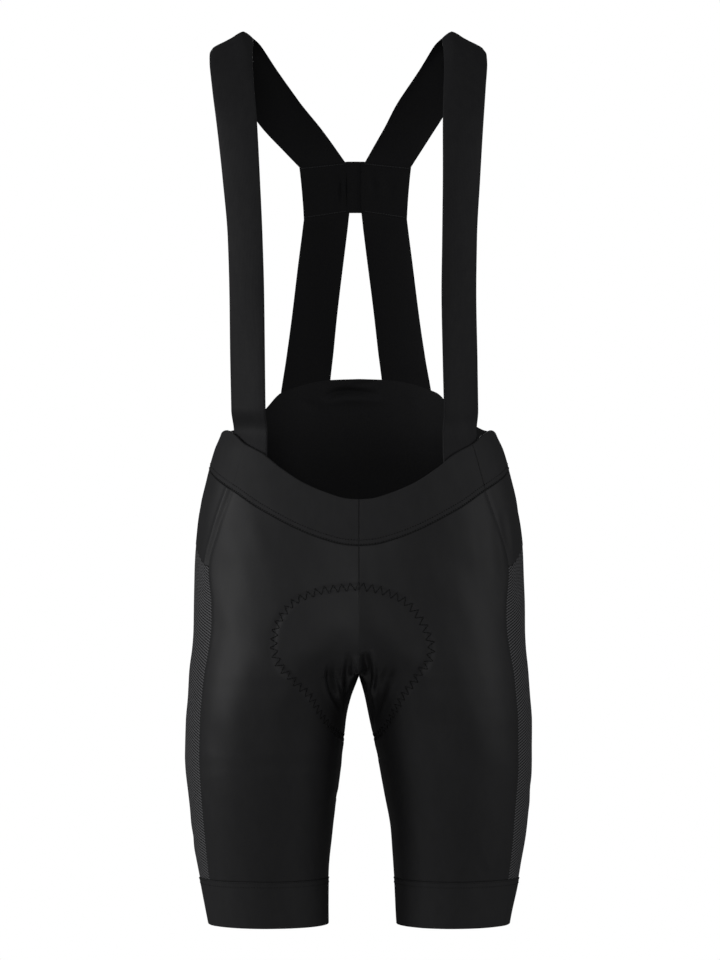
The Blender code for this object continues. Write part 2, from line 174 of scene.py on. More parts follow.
SEAT_PAD = (
    (-553, 0.280, 0.265, -557), (-566, 0.306, 0.287, -569), (-586, 0.316, 0.296, -592),
    (-604, 0.308, 0.291, -609), (-616, 0.286, 0.269, -627), (-627.5, 0.248, 0.224, -643),
    (-635.5, 0.187, 0.176, -660), (-640, 0.141, 0.134, -680), (-641.6, 0.085, 0.085, -698),
    (-642, 0.0, 0.0, -706),
    (-641.6, -0.085, -0.085, -699), (-640, -0.150, -0.150, -682), (-634, -0.215, -0.215, -664),
    (-622.5, -0.269, -0.269, -644), (-603.5, -0.310, -0.310, -618), (-580, -0.329, -0.329, -588),
    (-558, -0.317, -0.317, -562), (-545, -0.283, -0.283, -546),
)
PAD_CROTCH_ROW = 9
PAD_EDGE = 1.4
PAD_WIDE, PAD_LONG = 190, 330  # about its cut, for the grid
PAD_SWELL = 6.0
PAD_SIDE_POWER = 4
PAD_END_RISE = 3
PAD_CLEARANCE = 2.1
PAD_EASE = 3.2


def curve_through(keys, values):
    """A smooth function through (key, value) pairs in rising order of key, flat past its ends."""
    keys, values = np.asarray(keys, float), np.asarray(values, float)
    steps = np.diff(values) / np.diff(keys)
    a, b = steps[:-1], steps[1:]
    same_way = a * b > 0
    inner = np.where(same_way, 2 * a * b / np.where(same_way, a + b, 1.0), 0.0)
    leads = np.concatenate([steps[:1], inner, steps[-1:]])

    def read(key):
        key = np.clip(np.asarray(key, float), keys[0], keys[-1])
        i = np.clip(np.searchsorted(keys, key, side="right") - 1, 0, len(keys) - 2)
        gap = keys[i + 1] - keys[i]
        k = (key - keys[i]) / gap
        return ((1 + 2 * k) * (1 - k) ** 2 * values[i] + k * (1 - k) ** 2 * gap * leads[i]
                + k * k * (3 - 2 * k) * values[i + 1] + k * k * (k - 1) * gap * leads[i + 1])

    return read


def columns_of(names, rows, keys):
    return {name: curve_through(keys, [row[n] for row in rows])
            for n, name in enumerate(names)}


form = columns_of(FORM_COLUMNS, FORM, [row[0] for row in FORM])
front_seam = curve_through(*zip(*FRONT_SEAM))
waist_seam = curve_through(*zip(*WAIST_SEAM))
waist_top = curve_through(*zip(*WAIST_TOP))
net_top = curve_through(*zip(*NET_TOP))
bridge = curve_through(*zip(*BRIDGE))


def mix(a, b, share):
    return a + (b - a) * share


def smooth(share):
    share = np.clip(share, 0, 1)
    return share * share * (3 - 2 * share)


def length_of(vectors):
    return np.linalg.norm(vectors, axis=-1)


def unit(vectors):
    return vectors / np.maximum(length_of(vectors), 1e-9)[..., None]


def inner_x(side, z):
    return np.where(side > 0, form["x_in_left"](z), form["x_in_right"](z))


def on_form(side, place, z):
    """Points of the worn form. Places run from 0 at the inner leg through 0.25 at the front,
    0.5 at the outside and 0.75 at the back."""
    place, z = np.broadcast_arrays(np.asarray(place, float), np.asarray(z, float))
    turn = place % 1.0 * 4
    quarter = np.minimum(np.floor(turn), 3)
    angle = (turn - quarter) * math.pi / 2
    odd = quarter % 2 == 1
    away = np.where(odd, np.sin(angle), np.cos(angle))
    along = np.where(odd, np.cos(angle), np.sin(angle))
    in_front = quarter < 2
    outside = (quarter == 1) | (quarter == 2)
    x_end = np.where(in_front, form["x_front"](z), form["x_back"](z))
    y_end = np.where(in_front, form["y_front"](z), form["y_back"](z))
    x_side = np.where(outside, form["x_out"](z), inner_x(side, z))
    y_side = np.where(outside, form["y_out"](z), form["y_in"](z))
    x = x_end + (x_side - x_end) * away
    y = y_side + (y_end - y_side) * along
    in_front = smooth((BRIDGE_START - y) / BRIDGE_FADE) * np.exp(-(x / BRIDGE_SPREAD) ** 2)
    y = y + (form["y_front"](z) - y) * bridge(z) * in_front
    return np.stack([side * x, y, z], axis=-1)


def off_form(side, place, z):
    """The directions straight out of the worn form."""
    round_it = on_form(side, place + PLACE_STEP, z) - on_form(side, place - PLACE_STEP, z)
    up_it = on_form(side, place, z + HEIGHT_STEP) - on_form(side, place, z - HEIGHT_STEP)
    return unit(np.cross(round_it, up_it) * np.broadcast_to(side, place.shape)[..., None])


def half_start(side, z):
    """The place where a half begins: the middle plane, or the inner leg below the crotch."""
    x_in, x_front = inner_x(side, z), form["x_front"](z)
    share = np.clip(x_front / np.maximum(x_front - x_in, LEAST_STEP), -1, 1)
    return np.where(x_in >= 0, 0.0, np.arccos(share) / math.tau)


def half_end(side, z):
    x_in, x_back = inner_x(side, z), form["x_back"](z)
    share = np.clip(x_back / np.maximum(x_back - x_in, LEAST_STEP), -1, 1)
    return np.where(x_in >= 0, 1.0, 0.75 + np.arcsin(share) / math.tau)


def place_of_x(side, x, z, face="front"):
    """The place on the front or back half of a ring whose distance from the middle plane is x."""
    turn = form["x_" + face](z)
    outward = np.clip((x - turn) / (form["x_out"](z) - turn), 0, 1)
    inward = np.clip((turn - x) / np.maximum(turn - inner_x(side, z), LEAST_STEP), -1, 1)
    if face == "front":
        outer, inner = 0.25 + np.arcsin(outward) / math.tau, np.arccos(inward) / math.tau
    else:
        outer, inner = 0.5 + np.arccos(outward) / math.tau, 0.75 + np.arcsin(inward) / math.tau
    return np.where(x >= turn, outer, inner)


def round_share(side, place, z, length):
    """How much of the ring a length takes at a place."""
    step = on_form(side, place + PLACE_STEP, z) - on_form(side, place - PLACE_STEP, z)
    return length * 2 * PLACE_STEP / np.maximum(length_of(step), LEAST_STEP)


# Creases: a soft trough or ridge each, along a curve through three points of the form. A point
# is a distance from the middle plane and a height on the front or back, or a place and a
# height on the ring. Width, height and where along its length it is deepest follow.
CREASE_COLUMNS = ("side", "face", "start", "middle", "end", "width", "height", "peak")
CREASES = (
    # front of the crotch, wearer's right
    (-1, "front", (27, -620), (29.5, -647), (18, -676), 3.4, -5.0, 0.58),
    (-1, "front", (19, -612), (20.5, -636), (18.5, -656), 4.5, 0.8, 0.50),
    (-1, "front", (8, -616), (11.5, -640), (18, -684), 3.6, -3.4, 0.42),
    (-1, "front", (3.5, -618), (4, -631), (5, -643), 1.4, -1.8, 0.60),
    (-1, "front", (43, -640), (38, -664), (26, -694), 8.0, -0.7, 0.50),
    # front of the crotch, wearer's left
    (1, "front", (4, -616), (9, -641), (17, -700), 4.4, -7.5, 0.36),
    (1, "front", (13, -626), (15.5, -650), (18, -684), 2.4, 2.6, 0.50),
    (1, "front", (34, -622), (25, -654), (18, -684), 4.6, -2.4, 0.45),
    # hips and the front of the thighs
    (1, "front", (140, -478), (146, -510), (149, -548), 5.5, -0.6, 0.40),
    (1, "front", (122, -484), (128, -520), (131, -566), 8.0, 0.5, 0.50),
    (-1, "front", (150, -778), (153, -808), (150, -838), 4.5, -0.6, 0.70),
    (1, "front", (112, -806), (118, -826), (128, -840), 4.5, -0.5, 0.70),
    (-1, "front", (60, -812), (52, -828), (46, -840), 4.0, -0.5, 0.65),
    # outsides
    (-1, "ring", (0.50, -470), (0.515, -500), (0.52, -545), 7.0, -0.8, 0.35),
    (1, "ring", (0.48, -462), (0.50, -492), (0.515, -530), 6.0, -0.7, 0.35),
    (-1, "ring", (0.57, -455), (0.56, -490), (0.58, -535), 6.5, 0.6, 0.40),
    (1, "ring", (0.56, -458), (0.57, -486), (0.565, -520), 5.5, -0.6, 0.45),
    (-1, "ring", (0.44, -770), (0.48, -800), (0.54, -818), 7.0, -0.7, 0.50),
    (1, "ring", (0.46, -742), (0.51, -764), (0.58, -770), 7.5, -0.7, 0.45),
    # back: under the seat, up from the crotch, and above the hems
    (-1, "back", (30, -655), (60, -672), (104, -661), 7.5, -2.0, 0.40),
    (1, "back", (36, -660), (66, -678), (98, -668), 6.5, -1.7, 0.45),
    (-1, "back", (26, -684), (50, -700), (84, -694), 5.5, -1.1, 0.40),
    (1, "back", (22, -690), (44, -708), (70, -704), 5.0, -1.0, 0.45),
    (-1, "back", (12, -638), (26, -618), (46, -594), 6.0, -1.5, 0.30),
    (1, "back", (11, -634), (22, -608), (34, -578), 5.5, -1.3, 0.30),
    (-1, "back", (5, -622), (9, -596), (10, -560), 5.0, -1.0, 0.35),
    (1, "back", (6, -626), (8, -600), (13, -572), 4.5, 0.9, 0.40),
    (-1, "back", (92, -470), (98, -496), (96, -530), 7.0, -0.8, 0.40),
    (1, "back", (78, -466), (86, -492), (88, -520), 6.0, -0.7, 0.40),
    (1, "back", (48, -470), (52, -486), (50, -506), 5.0, 0.6, 0.45),
    (-1, "back", (56, -806), (78, -822), (108, -824), 5.0, -1.0, 0.50),
    (1, "back", (62, -812), (88, -830), (118, -832), 4.5, -0.9, 0.50),
    (1, "back", (50, -792), (64, -804), (86, -808), 4.5, -0.7, 0.45),
    # inner legs
    (-1, "ring", (0.03, -700), (0.00, -722), (0.94, -738), 7.0, -0.4, 0.55),
    (1, "ring", (0.02, -706), (0.99, -724), (0.93, -734), 7.5, -0.4, 0.60),
    (-1, "ring", (0.00, -750), (0.96, -765), (0.90, -772), 6.5, -0.7, 0.60),
    (1, "ring", (0.99, -762), (0.95, -776), (0.89, -782), 6.5, -0.7, 0.55),
)
CREASE_SAMPLES = 14
CREASE_REACH = 2.6  # widths from its line past which a crease no longer shows
SHOULDER_DEPTH, SHOULDER_AT, SHOULDER_WIDTH = 0.3, 1.7, 0.6  # shares of height and of width
CREASE_FADE = 1.3  # above 1, a crease dies away gently at its ends
BROAD_WAVES = (  # length in x, y and z of a slow unevenness, its height, its start
    (170, 140, 150, 0.5, 0.4), (88, 105, 90, 0.2, 2.1), (57, 48, 143, 0.15, 4.0),
)
CROSSING_STRETCH = 1.7  # how much longer up the cloth the wave that crosses each of them is
KEEL = (  # z, height of the ridge where the front panels are pulled over the pad's middle
    (-648, 0), (-638, 2.6), (-628, 5.6), (-614, 8.6), (-596, 8.6), (-566, 5.4), (-536, 2.2),
    (-508, 0),
)
KEEL_SPREAD_LEFT, KEEL_SPREAD_RIGHT = 19.0, 40.0
KEEL_ENDS, KEEL_FADE = -72.0, 34.0  # y where it ends under the crotch, and over what length
PAD_LINE_DIP, PAD_LINE_WIDTH = 0.9, 3.4
PAD_LINE_SAMPLES = 70


def place_on(face, side, first, z):
    return first if face == "ring" else place_of_x(side, first, z, face)


def through_three(values):
    """A smooth run of values through three of them, with the second halfway."""
    first, middle, last = values
    t = np.linspace(0, 1, CREASE_SAMPLES)
    pull = 2 * middle - (first + last) / 2
    return first * (1 - t) ** 2 + pull * 2 * t * (1 - t) + last * t ** 2


def crease_line(crease):
    """The points of a crease along a smooth curve through its three."""
    firsts, heights = zip(*(crease[key] for key in ("start", "middle", "end")))
    z = through_three(heights)
    place = place_on(crease["face"], crease["side"], through_three(firsts), z)
    return on_form(crease["side"], place, z)


def off_line(points, line):
    """Each point's distance from a line of points, and how far along the line it lies."""
    start, span = line[:-1], np.diff(line, axis=0)
    reach = ((points[:, None] - start) * span).sum(-1) / (span ** 2).sum(-1)
    reach = np.clip(reach, 0, 1)
    away = length_of(points[:, None] - (start + reach[..., None] * span))
    nearest = away.argmin(axis=1)
    row = np.arange(len(points))
    return away[row, nearest], (nearest + reach[row, nearest]) / len(span)


def near_to(points, line, reach):
    """Which points lie within reach of the box round a line."""
    return np.all((points > line.min(axis=0) - reach) & (points < line.max(axis=0) + reach), axis=1)


creases = [dict(zip(CREASE_COLUMNS, row)) for row in CREASES]
for crease in creases:
    crease["line"] = crease_line(crease)


def crease_profile(off, along, crease):
    """A crease across and along: one soft dip or rise, with a low shoulder on either side."""
    k = off / crease["width"]
    shoulder = SHOULDER_DEPTH * np.exp(-((k - SHOULDER_AT) / SHOULDER_WIDTH) ** 2)
    power = math.log(0.5) / math.log(crease["peak"])
    fade = np.sin(math.pi * along ** power) ** CREASE_FADE
    return crease["height"] * (np.exp(-k ** 2) - shoulder) * fade


def creased(points):
    height = np.zeros(len(points))
    for crease in creases:
        near = near_to(points, crease["line"], crease["width"] * CREASE_REACH)
        if near.any():
            off, along = off_line(points[near], crease["line"])
            height[near] += crease_profile(off, along, crease)
    return height


def uneven(points):
    height = np.zeros(len(points))
    for x_long, y_long, z_long, rise, start in BROAD_WAVES:
        turns = points @ (math.tau / np.array([x_long, y_long, z_long]))
        across = points @ (math.tau / np.array([y_long, -x_long, z_long * CROSSING_STRETCH]))
        height += rise * np.sin(turns + start) * np.cos(across + 2 * start)
    return height


keel_height = curve_through(*zip(*KEEL))


def keel(points):
    """The front's middle seam, pulled a little forward where it runs over the pad."""
    in_front = smooth((KEEL_ENDS - points[:, 1]) / KEEL_FADE)
    spread = np.where(points[:, 0] > 0, KEEL_SPREAD_LEFT, KEEL_SPREAD_RIGHT)
    return keel_height(points[:, 2]) * np.exp(-np.abs(points[:, 0]) / spread) * in_front


def pad_outline(side, count):
    """The line on one half where the pad's edge is sewn to the cloth, round from the front's
    middle to the back's, as places and heights."""
    keys = np.arange(len(SEAT_PAD))
    named = columns_of(PAD_COLUMNS, SEAT_PAD, keys)
    key = np.linspace(0, keys[-1], count)
    edge, z = named["edge_left" if side > 0 else "edge_right"](key), named["z_edge"](key)
    share = np.linspace(0, 1, count // 6, endpoint=False)
    front, back = named["z_middle"](0), named["z_middle"](keys[-1])
    start = mix(half_start(side, front), edge[0], share)
    end = mix(half_end(side, back) - 1, edge[-1], share[::-1])
    return (np.concatenate([start, edge, end]),
            np.concatenate([mix(front, z[0], share), z, mix(back, z[-1], share[::-1])]))


pad_lines = {side: on_form(side, *pad_outline(side, PAD_LINE_SAMPLES)) for side, _ in SIDES}


def over_the_pad(points):
    """The cloth dips along the pad's sewn edge."""
    height = np.zeros(len(points))
    for side, line in pad_lines.items():
        near = near_to(points, line, PAD_LINE_WIDTH * CREASE_REACH)
        near &= np.sign(points[:, 0]) * side >= 0
        if near.any():
            off, _ = off_line(points[near], line)
            height[near] -= PAD_LINE_DIP * np.exp(-(off / PAD_LINE_WIDTH) ** 2)
    return height


def relief(points):
    """How far the cloth stands off its form at each of its points, in one flat list."""
    flat = points.reshape(-1, 3)
    height = creased(flat) + uneven(flat) + keel(flat) + over_the_pad(flat)
    return height.reshape(points.shape[:-1])


def cloth_on_form(side, place, z):
    """The body's side of the cloth, and the directions out of it."""
    points, out = on_form(side, place, z), off_form(side, place, z)
    return points + out * relief(points)[..., None], out


EDGE_LINES = (0.0, 0.3, 0.7, EDGE_ROUND, 1.8)  # grid lines from an edge
CLOSEST_LINES = 0.22
LAYER_SPLIT = 0.25  # on the unit grid the body's side is at 0, an edge's face at 0.5


def grid_lines(length, square):
    """Where a grid's lines fall over a length, as shares: closer at its edges."""
    edge = np.array(EDGE_LINES)
    count = max(math.ceil((length - 2 * edge[-1]) / square), 1) + 1
    even = np.linspace(edge[-1], length - edge[-1], count)
    found = np.sort(np.concatenate([edge, even, length - edge]))
    kept = [0.0]
    for line in found[1:]:
        if line - kept[-1] >= CLOSEST_LINES:
            kept.append(line)
    kept[-1] = length
    return np.array(kept) / length


def along_grid(points, axis):
    """Length along each row or column of a grid of points, up to each point."""
    steps = length_of(np.diff(points, axis=axis))
    pad = [(0, 0), (0, 0)]
    pad[axis] = (1, 0)
    return np.pad(np.cumsum(steps, axis=axis), pad)


def distances_in(points):
    """How far each grid point lies from each edge of its grid, along the cloth."""
    across, up = along_grid(points, 1), along_grid(points, 0)
    return {"start": across, "end": across[:, -1:] - across, "bottom": up, "top": up[-1:] - up}


def rolled(distances, flush):
    """The share of the wall's thickness left as it rolls down to all but its flush edges."""
    off = np.minimum.reduce([away for edge, away in distances.items() if edge not in flush])
    k = np.clip(off / EDGE_ROUND, 0, 1)
    return EDGE_LEFT + (1 - EDGE_LEFT) * np.sqrt(1 - (1 - k) ** 2)


def sewn_dents(distances, dents):
    """Rows that stitches pull in, each at a distance from one edge."""
    depth = 0.0
    for edge, distance, sink, width in dents:
        depth = depth + sink * np.exp(-((distances[edge] - distance) / width) ** 2)
    return depth


def cloth_mesh(name, across, up, surface, wall, materials, dents=(), flush=(), keep_side=0,
               grain="start"):
    """A cloth wall: a grid, with a second layer raised from it, laid on a surface.

    surface(across, up) gives points of the body's side and the directions out of it. The
    knit's columns run along the grain edge.
    """
    bm = bmesh.new()
    bmesh.ops.create_grid(bm, x_segments=len(across) - 1, y_segments=len(up) - 1, size=0.5)
    raised = bmesh.ops.extrude_face_region(
        bm, geom=bm.verts[:] + bm.edges[:] + bm.faces[:], use_keep_orig=True)
    outer = [part for part in raised["geom"] if isinstance(part, bmesh.types.BMVert)]
    bmesh.ops.translate(bm, vec=(0, 0, 1), verts=outer)
    bmesh.ops.recalc_face_normals(bm, faces=bm.faces)
    mesh = bpy.data.meshes.new(name)
    bm.to_mesh(mesh)
    bm.free()

    corners = np.empty(len(mesh.vertices) * 3, np.float32)
    mesh.vertices.foreach_get("co", corners)
    corners = corners.reshape(-1, 3)
    column = np.rint((corners[:, 0] + 0.5) * (len(across) - 1)).astype(int)
    row = np.rint((corners[:, 1] + 0.5) * (len(up) - 1)).astype(int)
    layer = np.rint(corners[:, 2]).astype(int)
    centres = np.empty(len(mesh.polygons) * 3, np.float32)
    mesh.polygons.foreach_get("center", centres)
    on_body = (centres.reshape(-1, 3)[:, 2] < LAYER_SPLIT).astype(np.int32)
    mesh.polygons.foreach_set("material_index", on_body)

    body, out = surface(*np.meshgrid(across, up))
    distances = distances_in(body)
    lift = wall * rolled(distances, flush) - sewn_dents(distances, dents)
    outside = body + out * np.maximum(lift, EDGE_LEFT * wall)[..., None]
    layers = np.stack([body, outside])
    if keep_side:
        layers[..., 0] = keep_side * np.maximum(keep_side * layers[..., 0], -SEAM_LAP)
    mesh.vertices.foreach_set("co", (layers[layer, row, column] * MM).astype(np.float32).ravel())
    facing = np.cross(np.diff(body, axis=1)[:-1], np.diff(body, axis=0)[:, :-1])
    if (facing * out[:-1, :-1]).sum() < 0:
        mesh.flip_normals()

    weave = mesh.uv_layers.new(name="Weave")
    along = distances[grain]
    grain_column = 0 if grain == "start" else -1
    upward = np.broadcast_to(distances["bottom"][:, grain_column, None], along.shape)
    loops = np.empty(len(mesh.loops), np.int32)
    mesh.loops.foreach_get("vertex_index", loops)
    flat_place = np.stack([along[row, column], upward[row, column]], axis=-1) * MM
    weave.data.foreach_set("uv", flat_place[loops].astype(np.float32).ravel())
    mesh.shade_smooth()
    mesh.update()
    for material in materials:
        mesh.materials.append(material)
    return mesh


def piece(name, mesh, slot, *nodes):
    """Links a finished mesh as a piece on the one body, in place of the nodes it stands for."""
    made = bpy.data.objects.new(name, mesh)
    bpy.context.scene.collection.objects.link(made)
    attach(made, "root")
    if nodes:
        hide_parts(*nodes)
    return made


CORNER_SHARE = 0.88  # share of a leg panel's rows below the panels' corner
NET_LEVEL_SHARE = 0.78
LEVEL_SAMPLES = 60000
LEVEL_PLACE = 0.4  # where the way up the outside is measured


def between(side, starts, ends, height):
    """The surface between two lines that run up the form; height gives where a row lies."""
    def surface(across, up):
        z = np.full(across.shape, PANEL_CORNER)
        for _ in range(SETTLE_ROUNDS):
            first, last = starts(z), ends(z)
            first = first - round_share(side, first, z, SEAM_LAP)
            last = last + round_share(side, last, z, SEAM_LAP)
            place = mix(first, last, across)
            z = height(up, place)
        return cloth_on_form(side, place, z)

    return surface


def leg_levels(side):
    """Heights up the leg, and the share of the cloth's longest way up it at each. Rows lie
    close together at the crotch, where the cloth is nearly level."""
    z = np.linspace(HEM_TOP - SEAM_LAP, PANEL_CORNER, LEVEL_SAMPLES)
    lines = [on_form(side, place, z) for place in (half_start(side, z), half_end(side, z), LEVEL_PLACE)]
    way = np.max([length_of(np.diff(line, axis=0)) for line in lines], axis=0)
    share = np.concatenate([[0], np.cumsum(way)])
    return z, share / share[-1], share[-1]


levels = {side: leg_levels(side) for side, _ in SIDES}


def leg_height(side):
    z, share, _ = levels[side]

    def height(up, place):
        level = np.interp(up / CORNER_SHARE, share, z)
        above = np.clip((up - CORNER_SHARE) / (1 - CORNER_SHARE), 0, 1)
        return mix(level, waist_seam(place), above)

    return height


def net_height(up, place):
    level = mix(HEM_TOP - SEAM_LAP, LEVEL_TOP, np.minimum(up / NET_LEVEL_SHARE, 1))
    above = np.clip((up - NET_LEVEL_SHARE) / (1 - NET_LEVEL_SHARE), 0, 1)
    return mix(level, net_top(place), above)


def in_band(bottom, top):
    return lambda up, place: mix(bottom(place) - SEAM_LAP, top(place), up)


def level_line(place):
    """A line up the form that stays at one place."""
    return lambda z: np.full(np.shape(z), place)


def hem_surface(side):
    def surface(across, up):
        place = across + np.where(across < 0.5, -1, 1) * round_share(side, across, HEM_TOP, SEAM_LAP)
        return cloth_on_form(side, place, mix(HEM_BOTTOM, HEM_TOP, up))

    return surface


PUCKER_COLUMNS = ("line", "width", "depth")
BIB_PUCKERS = (  # x and z of the folds that the back straps pull up in the bib
    (((-36, -367), (-14, -358.5), (22, -363.5)), 3.4, 5.5),
    (((-40, -374), (-8, -367), (30, -371)), 4.5, -2.2),
    (((-9, -352.5), (6, -350.5), (20, -348.5)), 2.0, 1.4),
    (((-62, -366), (-52, -372), (-38, -376)), 4.0, 1.0),
    (((44, -362), (54, -368), (64, -377)), 4.5, 1.0),
)
CROSSPIECE_PUCKERS = (  # upright folds beside the middle, and slanting ones on the left
    (((-19, -136), (-20, -157), (-19, -174)), 2.6, 2.2),
    (((-11, -132), (-11.5, -155), (-11, -176)), 2.6, 1.6),
    (((-15, -138), (-15.5, -155), (-15, -172)), 1.6, -0.8),
    (((9, -134), (13, -150), (18, -166)), 2.8, -1.2),
    (((14, -128), (19, -142), (24, -156)), 3.0, 1.2),
    (((27, -134), (31, -150), (33, -166)), 4.0, -0.8),
    (((-40, -140), (-36, -155), (-37, -172)), 5.0, 0.7),
)
PUCKER_FADE = 0.8  # below 1, a fold keeps its depth almost to its ends
JOIN_RIDGES = (  # x of the join's cords and of the groove beside them, width, height
    (-5.4, 1.0, 0.9), (-2.4, 1.0, 0.9), (1.2, 1.3, -0.8),
)


def puckered(points, rows):
    """How far folds push a back piece away from the body at each of its points."""
    flat = points.reshape(-1, 3) * (1, 0, 1)
    depth = np.zeros(len(flat))
    for row in rows:
        pucker = dict(zip(PUCKER_COLUMNS, row))
        xs, zs = zip(*pucker["line"])
        line = np.stack([through_three(xs), np.zeros(CREASE_SAMPLES), through_three(zs)], axis=-1)
        off, along = off_line(flat, line)
        fade = np.sin(math.pi * along) ** PUCKER_FADE
        depth += pucker["depth"] * fade * np.exp(-(off / pucker["width"]) ** 2)
    return depth.reshape(points.shape[:-1])


def bib_surface(across, up):
    side = np.where(across >= 0.5, 1, -1)
    from_middle = np.abs(2 * across - 1)
    place = mix(BACK_MIDDLE, BACK_SEAM, from_middle)
    z = mix(waist_seam(place) - SEAM_LAP, waist_top(place), up)
    points, out = cloth_on_form(side, place, z)
    return points + out * puckered(points, BIB_PUCKERS)[..., None], out


FOLD_FADE = 4.0  # distance from the join over which the folds grow


def folded(points, out, up):
    """Gives a crosspiece its folds, which fade at its seams."""
    from_join = np.abs(points[..., 0]) - JOIN_HALF_WIDTH
    depth = puckered(points, CROSSPIECE_PUCKERS) * np.sin(math.pi * up) * smooth(from_join / FOLD_FADE)
    return points + out * depth[..., None], out


STRAP_ROLL = 1.5  # how far a strap's long edges turn in towards the body
STRAP_ROLL_WIDTH = 5.0
FLAT_END = 0.5  # in rows of a strap's table
CREST_ROW, CREST_REACH = 9.6, 1.5  # where the shoulder strap turns over the top
CREST = (  # place across from the outer edge, how far the cloth stands up at the turn
    (0.0, -2.6), (0.12, -0.4), (0.35, -0.1), (0.55, 1.0), (0.72, 3.2), (0.84, 4.2),
    (0.93, 1.0), (1.0, -4.2),
)
crest_rise = curve_through(*zip(*CREST))
TOP_TURN_IN = 0.15  # share of a back strap over which it bends to the bib's edge


def ribbon(side, rows, bow, shape=None):
    """The surface of a band whose outer and inner edges run smoothly through a table of
    crossings. bow is how far its middle stands out between its edges; it is flat at its ends,
    and a shoulder strap is shaped where it turns over the top."""
    keys = np.arange(len(rows))
    edge = columns_of(STRAP_COLUMNS, rows, keys)

    def at(across, key):
        ends = [np.stack([side * edge["x" + end](key), edge["y" + end](key),
                          edge["z" + end](key)], axis=-1) for end in ("_out", "_in")]
        lean = edge["lean"](key)[..., None] * (1, 0, 0)
        return mix(ends[0], ends[1], across[..., None]) + lean

    def surface(across, up):
        key = up * keys[-1]
        along = at(across, key + KEY_STEP) - at(across, key - KEY_STEP)
        width = at(np.ones_like(across), key) - at(np.zeros_like(across), key)
        out = side * unit(np.cross(along, width))
        free = across if rows is CROSSPIECE else np.minimum(across, 1 - across)
        from_edge = free * length_of(width)
        rise = bow * np.sin(math.pi * across) - STRAP_ROLL * np.exp(-from_edge / STRAP_ROLL_WIDTH)
        from_end = np.minimum(key, keys[-1] - key)
        rise = rise * smooth(from_end / FLAT_END)
        if rows is SHOULDER_STRAP:
            rise = rise + crest_rise(across) * np.exp(-((key - CREST_ROW) / CREST_REACH) ** 2)
        points = at(across, key) + out * rise[..., None]
        return shape(points, out, up) if shape else (points, out)

    return surface


def tucked(side):
    """Lays the lower end of a shoulder strap against the inside of the waistband."""
    def shape(points, out, up):
        x, z = points[..., 0], points[..., 2]
        free = smooth((z - TUCK_LOW) / (TUCK_HIGH - TUCK_LOW))[..., None]
        inside, way_out = cloth_on_form(side, place_of_x(side, side * x, z), z)
        inside = inside - way_out * (TUCK_CLEARANCE + STRAP_WALL)
        return mix(inside, points, free), unit(mix(way_out, out, free))

    return shape


def seated(side):
    """Ends a back strap along the open edge of the back bib."""
    def shape(points, out, up):
        end = points[-1]
        share = np.abs(end[:, 0]) / form["x_out"](end[:, 2])
        place = 0.5 + np.arccos(share) / math.tau
        seat, way_out = cloth_on_form(side, place, waist_top(place) - SEAM_LAP)
        turn = smooth((up - 1 + TOP_TURN_IN) / TOP_TURN_IN)[..., None]
        return points + (seat - end) * turn, unit(mix(out, way_out, turn))

    return shape


def join_surface(across, up):
    keys = np.arange(len(CROSSPIECE))
    edge = columns_of(STRAP_COLUMNS, CROSSPIECE, keys)
    key = up * keys[-1]
    x = mix(JOIN_HALF_WIDTH, -JOIN_HALF_WIDTH, across) + edge["lean"](key)
    raised = sum(height * np.exp(-((x - at) / width) ** 2) for at, width, height in JOIN_RIDGES)
    points = np.stack([x, edge["y_in"](key) - raised, edge["z_in"](key)], axis=-1)
    return points, np.broadcast_to((0.0, 1.0, 0.0), points.shape)


def pad_surface(across, up):
    """The pad's outer face and the directions into the body."""
    keys = np.arange(len(SEAT_PAD))
    named = columns_of(PAD_COLUMNS, SEAT_PAD, keys)
    side = np.where(across >= 0.5, 1, -1)
    share = np.abs(2 * across - 1)
    key = up * keys[-1]
    z_middle = named["z_middle"](key)
    behind = key > PAD_CROTCH_ROW
    middle = np.where(behind, half_end(side, z_middle) - 1, half_start(side, z_middle))
    edge = np.where(side > 0, named["edge_left"](key), named["edge_right"](key))
    place, z = mix(middle, edge, share), mix(z_middle, named["z_edge"](key), share)
    out = off_form(side, place, z)
    out[..., 0] = np.where(share == 0, 0, out[..., 0])
    out = unit(out)
    points = on_form(side, place, z)
    swell = (1 - share ** PAD_SIDE_POWER) * np.minimum(np.sin(math.pi * up) * PAD_END_RISE, 1)
    pressed = np.minimum(relief(points), 0)
    points = points - out * (PAD_CLEARANCE + PAD_EASE * swell - pressed)[..., None]
    points[..., 0] = np.where(share == 0, 0, points[..., 0])
    return points, -out, PAD_EDGE + PAD_SWELL * swell


def pad_mesh(name, across, up, materials):
    points, into_body, thickness = pad_surface(*np.meshgrid(across, up))
    # The wall starts at the far face, so that the grid's outside is the side that lies on skin.
    return cloth_mesh(name, across, up, lambda *_: (points, into_body), thickness, materials)


MIDDLE_SAMPLES = 60


def sheet_grid(surface, square):
    """Grid lines for a surface: its middle lines measured, then divided."""
    share = np.linspace(0, 1, MIDDLE_SAMPLES)
    middle = np.full(MIDDLE_SAMPLES, 0.5)
    wide = length_of(np.diff(surface(share[None], middle[None])[0][0], axis=0)).sum()
    long = length_of(np.diff(surface(middle[:, None], share[:, None])[0][:, 0], axis=0)).sum()
    return grid_lines(wide, square), grid_lines(long, square)


# Materials: colours are sRGB, pattern sizes in millimetres


def colour(code):
    """A hex sRGB colour as the linear one that a socket takes."""
    parts = [int(code[i:i + 2], 16) / 255 for i in (1, 3, 5)]
    linear = [p / 12.92 if p <= 0.04045 else ((p + 0.055) / 1.055) ** 2.4 for p in parts]
    return (*linear, 1.0)


